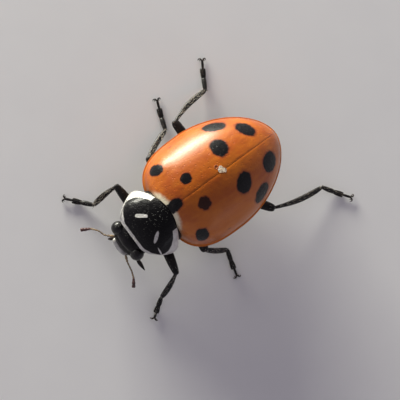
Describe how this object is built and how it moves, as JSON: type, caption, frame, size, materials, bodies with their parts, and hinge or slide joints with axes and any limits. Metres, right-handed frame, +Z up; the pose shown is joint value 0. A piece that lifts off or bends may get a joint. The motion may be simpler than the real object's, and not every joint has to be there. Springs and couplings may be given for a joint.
{
  "type": "convergent ladybird beetle",
  "caption": "Life-size still ladybird beetle standing in mid-step: domed spotted wing cases, black neck shield with white markings, head with feelers, and jointed-looking fixed legs.",
  "frame": {"origin": "middle of the box's base, on the ground between the feet", "axes": "+Z up, -Y towards the head, +X towards the beetle's own left side"},
  "size_m": [0.0076, 0.009, 0.0027],
  "materials": {
    "wing_case": "glossy orange shell with fine pits and soft-edged black spots",
    "black_shell": "glossy black shell with ivory border and bars on the neck shield",
    "eye": "glossy black, finely faceted",
    "underside": "satin black plates with fine pale down",
    "leg": "satin black, hairy, with brown claws and grey foot pads",
    "feeler": "satin tan to dark reddish brown",
    "hair": "fine pale bristles"
  },
  "bodies": {
    "root": {"abdomen_plate_1": "underside", "abdomen_plate_2": "underside", "abdomen_plate_3": "underside", "abdomen_plate_4": "underside", "abdomen_plate_5": "underside", "abdomen_plate_6": "underside", "antenna_club_left": "feeler", "antenna_club_right": "feeler", "antenna_left": "feeler", "antenna_right": "feeler", "elytron_left": "wing_case", "elytron_right": "wing_case", "eye_left": "eye", "eye_right": "eye", "head": "black_shell", "labrum": "black_shell", "leg_front_left_coxa": "leg", "leg_front_left_femur": "leg", "leg_front_left_tarsus": "leg", "leg_front_left_tibia": "leg", "leg_front_right_coxa": "leg", "leg_front_right_femur": "leg", "leg_front_right_tarsus": "leg", "leg_front_right_tibia": "leg", "leg_hind_left_coxa": "leg", "leg_hind_left_femur": "leg", "leg_hind_left_tarsus": "leg", "leg_hind_left_tibia": "leg", "leg_hind_right_coxa": "leg", "leg_hind_right_femur": "leg", "leg_hind_right_tarsus": "leg", "leg_hind_right_tibia": "leg", "leg_middle_left_coxa": "leg", "leg_middle_left_femur": "leg", "leg_middle_left_tarsus": "leg", "leg_middle_left_tibia": "leg", "leg_middle_right_coxa": "leg", "leg_middle_right_femur": "leg", "leg_middle_right_tarsus": "leg", "leg_middle_right_tibia": "leg", "mandible_left": "feeler", "mandible_right": "feeler", "mesothorax": "underside", "metathorax": "underside", "palp_left": "feeler", "palp_right": "feeler", "pronotum": "black_shell", "prothorax": "underside", "scutellum": "black_shell"}
  },
  "joints": []
}
